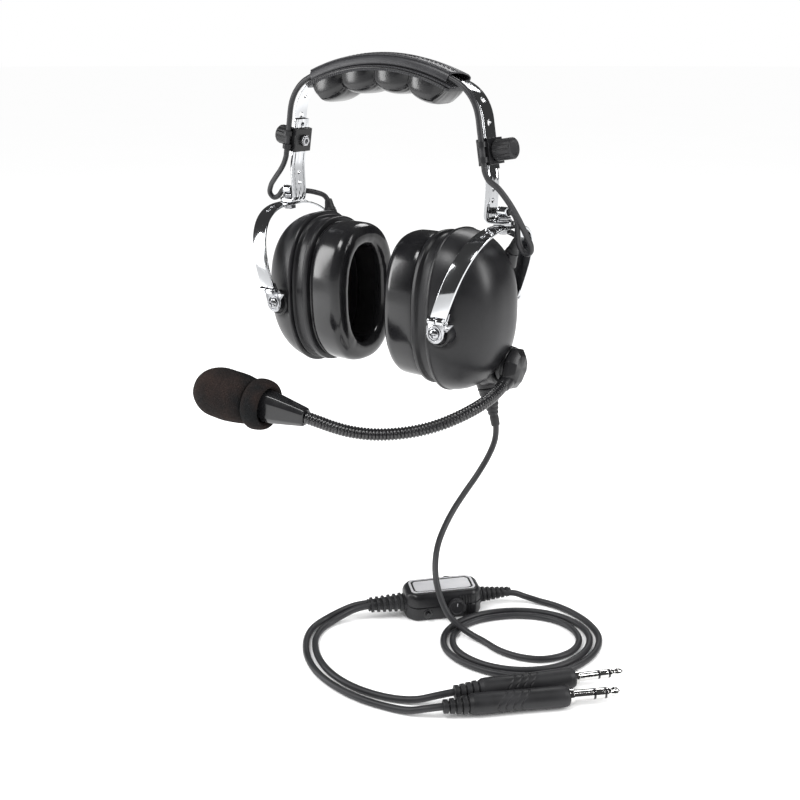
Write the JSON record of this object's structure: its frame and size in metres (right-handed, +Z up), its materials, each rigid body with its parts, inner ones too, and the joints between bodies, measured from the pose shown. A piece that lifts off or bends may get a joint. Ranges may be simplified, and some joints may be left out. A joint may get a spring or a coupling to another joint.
{
  "type": "aviation headset",
  "caption": "Over-ear aviation headset on a spring headband, with a turning boom microphone and a lead with a volume box that ends in headphone and microphone plugs.",
  "frame": {"origin": "centre of the wearer's head, midway between the four pivots of the ear cups (mount head)", "axes": "+Z up, +X to the wearer's left, the wearer faces -Y"},
  "size_m": [0.3303, 0.2057, 0.3584],
  "materials": {
    "chrome": "polished chrome plate on spring steel, mirror bright",
    "steel": "bright zinc-plated steel",
    "nickel": "nickel-plated brass with black insulating rings",
    "satin_plastic": "black moulded plastic, fine satin texture",
    "gloss_plastic": "black moulded plastic, polished",
    "seal_vinyl": "glossy black vinyl skin, soft filling",
    "pad_leather": "glossy black leatherette, padded lobes",
    "cover_leather": "dark grey matte leatherette with piping",
    "gooseneck_black": "black flexible steel conduit, gloss",
    "foam": "dark charcoal open-cell foam",
    "cable_rubber": "dark grey matte jacket",
    "grip_rubber": "black matte moulded rubber",
    "board_green": "green fibreglass board"
  },
  "bodies": {
    "left_stirrup": {"left_yoke": "chrome", "left_front_pivot_clip": "steel", "left_rear_pivot_clip": "steel", "main_cord": "cable_rubber", "headphone_cord": "cable_rubber", "mic_cord": "cable_rubber", "headphone_plug_grip": "grip_rubber", "mic_plug_grip": "grip_rubber", "headphone_plug_shaft": "nickel", "mic_plug_shaft": "nickel", "box_lower_shell": "satin_plastic", "box_upper_shell": "satin_plastic", "circuit_board": "board_green", "box_cord_relief": "grip_rubber", "plug_cords_relief": "grip_rubber"},
    "left_cup": {"left_dome": "satin_plastic", "left_ear_seal": "seal_vinyl", "left_seal_flange": "satin_plastic", "left_foam_liner": "foam", "left_speaker": "steel", "left_front_pivot_screw": "steel", "left_rear_pivot_screw": "steel", "left_cable_tail": "cable_rubber", "cord_gland": "cable_rubber", "boom_bezel": "satin_plastic"},
    "boom": {"boom_block": "satin_plastic", "gooseneck": "gooseneck_black", "mic_housing": "gloss_plastic", "mic_capsule": "steel", "windscreen": "foam", "windscreen_cuff": "foam"},
    "left_slide": {"left_slide_bar": "chrome", "left_swivel_bolt": "steel", "left_cable_clip": "chrome"},
    "headband": {"headband_spring": "chrome", "head_pad": "pad_leather", "pad_cover": "cover_leather", "dome_cable": "cable_rubber", "left_clamp_plate": "satin_plastic", "right_clamp_plate": "satin_plastic", "left_cable_loop": "cable_rubber", "right_cable_loop": "cable_rubber"},
    "left_knob": {"left_clamp_knob": "grip_rubber"},
    "right_knob": {"right_clamp_knob": "grip_rubber"},
    "right_slide": {"right_slide_bar": "chrome", "right_swivel_bolt": "steel", "right_cable_clip": "chrome"},
    "right_stirrup": {"right_yoke": "chrome", "right_front_pivot_clip": "steel", "right_rear_pivot_clip": "steel"},
    "right_cup": {"right_dome": "satin_plastic", "right_ear_seal": "seal_vinyl", "right_seal_flange": "satin_plastic", "right_foam_liner": "foam", "right_speaker": "steel", "right_front_pivot_screw": "steel", "right_rear_pivot_screw": "steel", "right_cable_tail": "cable_rubber"},
    "front_knob": {"front_volume_knob": "grip_rubber"},
    "rear_knob": {"rear_volume_knob": "grip_rubber"}
  },
  "joints": [
    {"name": "left_cup_tilt", "type": "hinge", "parent": "left_stirrup", "child": "left_cup", "pos_m": [0.069, 0, 0], "axis": [0, 1, 0], "range_deg": [-12, 12], "deforming": ["left_cable_tail", "main_cord"]},
    {"name": "boom_turn", "type": "hinge", "parent": "left_cup", "child": "boom", "pos_m": [0.0927, 0.014, -0.03], "axis": [1, 0, 0], "range_deg": [-40, 60]},
    {"name": "left_swivel", "type": "hinge", "parent": "left_stirrup", "child": "left_slide", "pos_m": [0.0908, 0, 0.0659], "axis": [0, 0, 1], "range_deg": [-15, 15], "deforming": ["left_cable_loop", "left_cable_tail"]},
    {"name": "left_height", "type": "slide", "parent": "left_slide", "child": "headband", "axis": [0.1736, 0, -0.9848], "range_m": [-0.012, 0.008], "deforming": ["left_cable_loop"]},
    {"name": "left_knob_turn", "type": "hinge", "parent": "headband", "child": "left_knob", "pos_m": [0.08051, 0, 0.109], "axis": [0.9848, 0, 0.1736], "continuous": true},
    {"name": "right_knob_turn", "type": "hinge", "parent": "headband", "child": "right_knob", "pos_m": [-0.08051, 0, 0.109], "axis": [-0.9848, 0, 0.1736], "continuous": true},
    {"name": "right_height", "type": "slide", "parent": "headband", "child": "right_slide", "axis": [0.1736, 0, 0.9848], "range_m": [-0.012, 0.008], "deforming": ["right_cable_loop"]},
    {"name": "right_swivel", "type": "hinge", "parent": "right_slide", "child": "right_stirrup", "pos_m": [-0.0908, 0, 0.0659], "axis": [0, 0, 1], "range_deg": [-15, 15], "deforming": ["right_cable_loop", "right_cable_tail"]},
    {"name": "right_cup_tilt", "type": "hinge", "parent": "right_stirrup", "child": "right_cup", "pos_m": [-0.069, 0, 0], "axis": [0, 1, 0], "range_deg": [-12, 12], "deforming": ["right_cable_tail"]},
    {"name": "front_volume", "type": "hinge", "parent": "left_stirrup", "child": "front_knob", "pos_m": [0.0942, -0.04917, -0.18225], "axis": [0.7431, -0.6691, 0], "range_deg": [-140, 140]},
    {"name": "rear_volume", "type": "hinge", "parent": "left_stirrup", "child": "rear_knob", "pos_m": [0.07117, -0.02843, -0.18225], "axis": [-0.7431, 0.6691, 0], "range_deg": [-140, 140]}
  ]
}
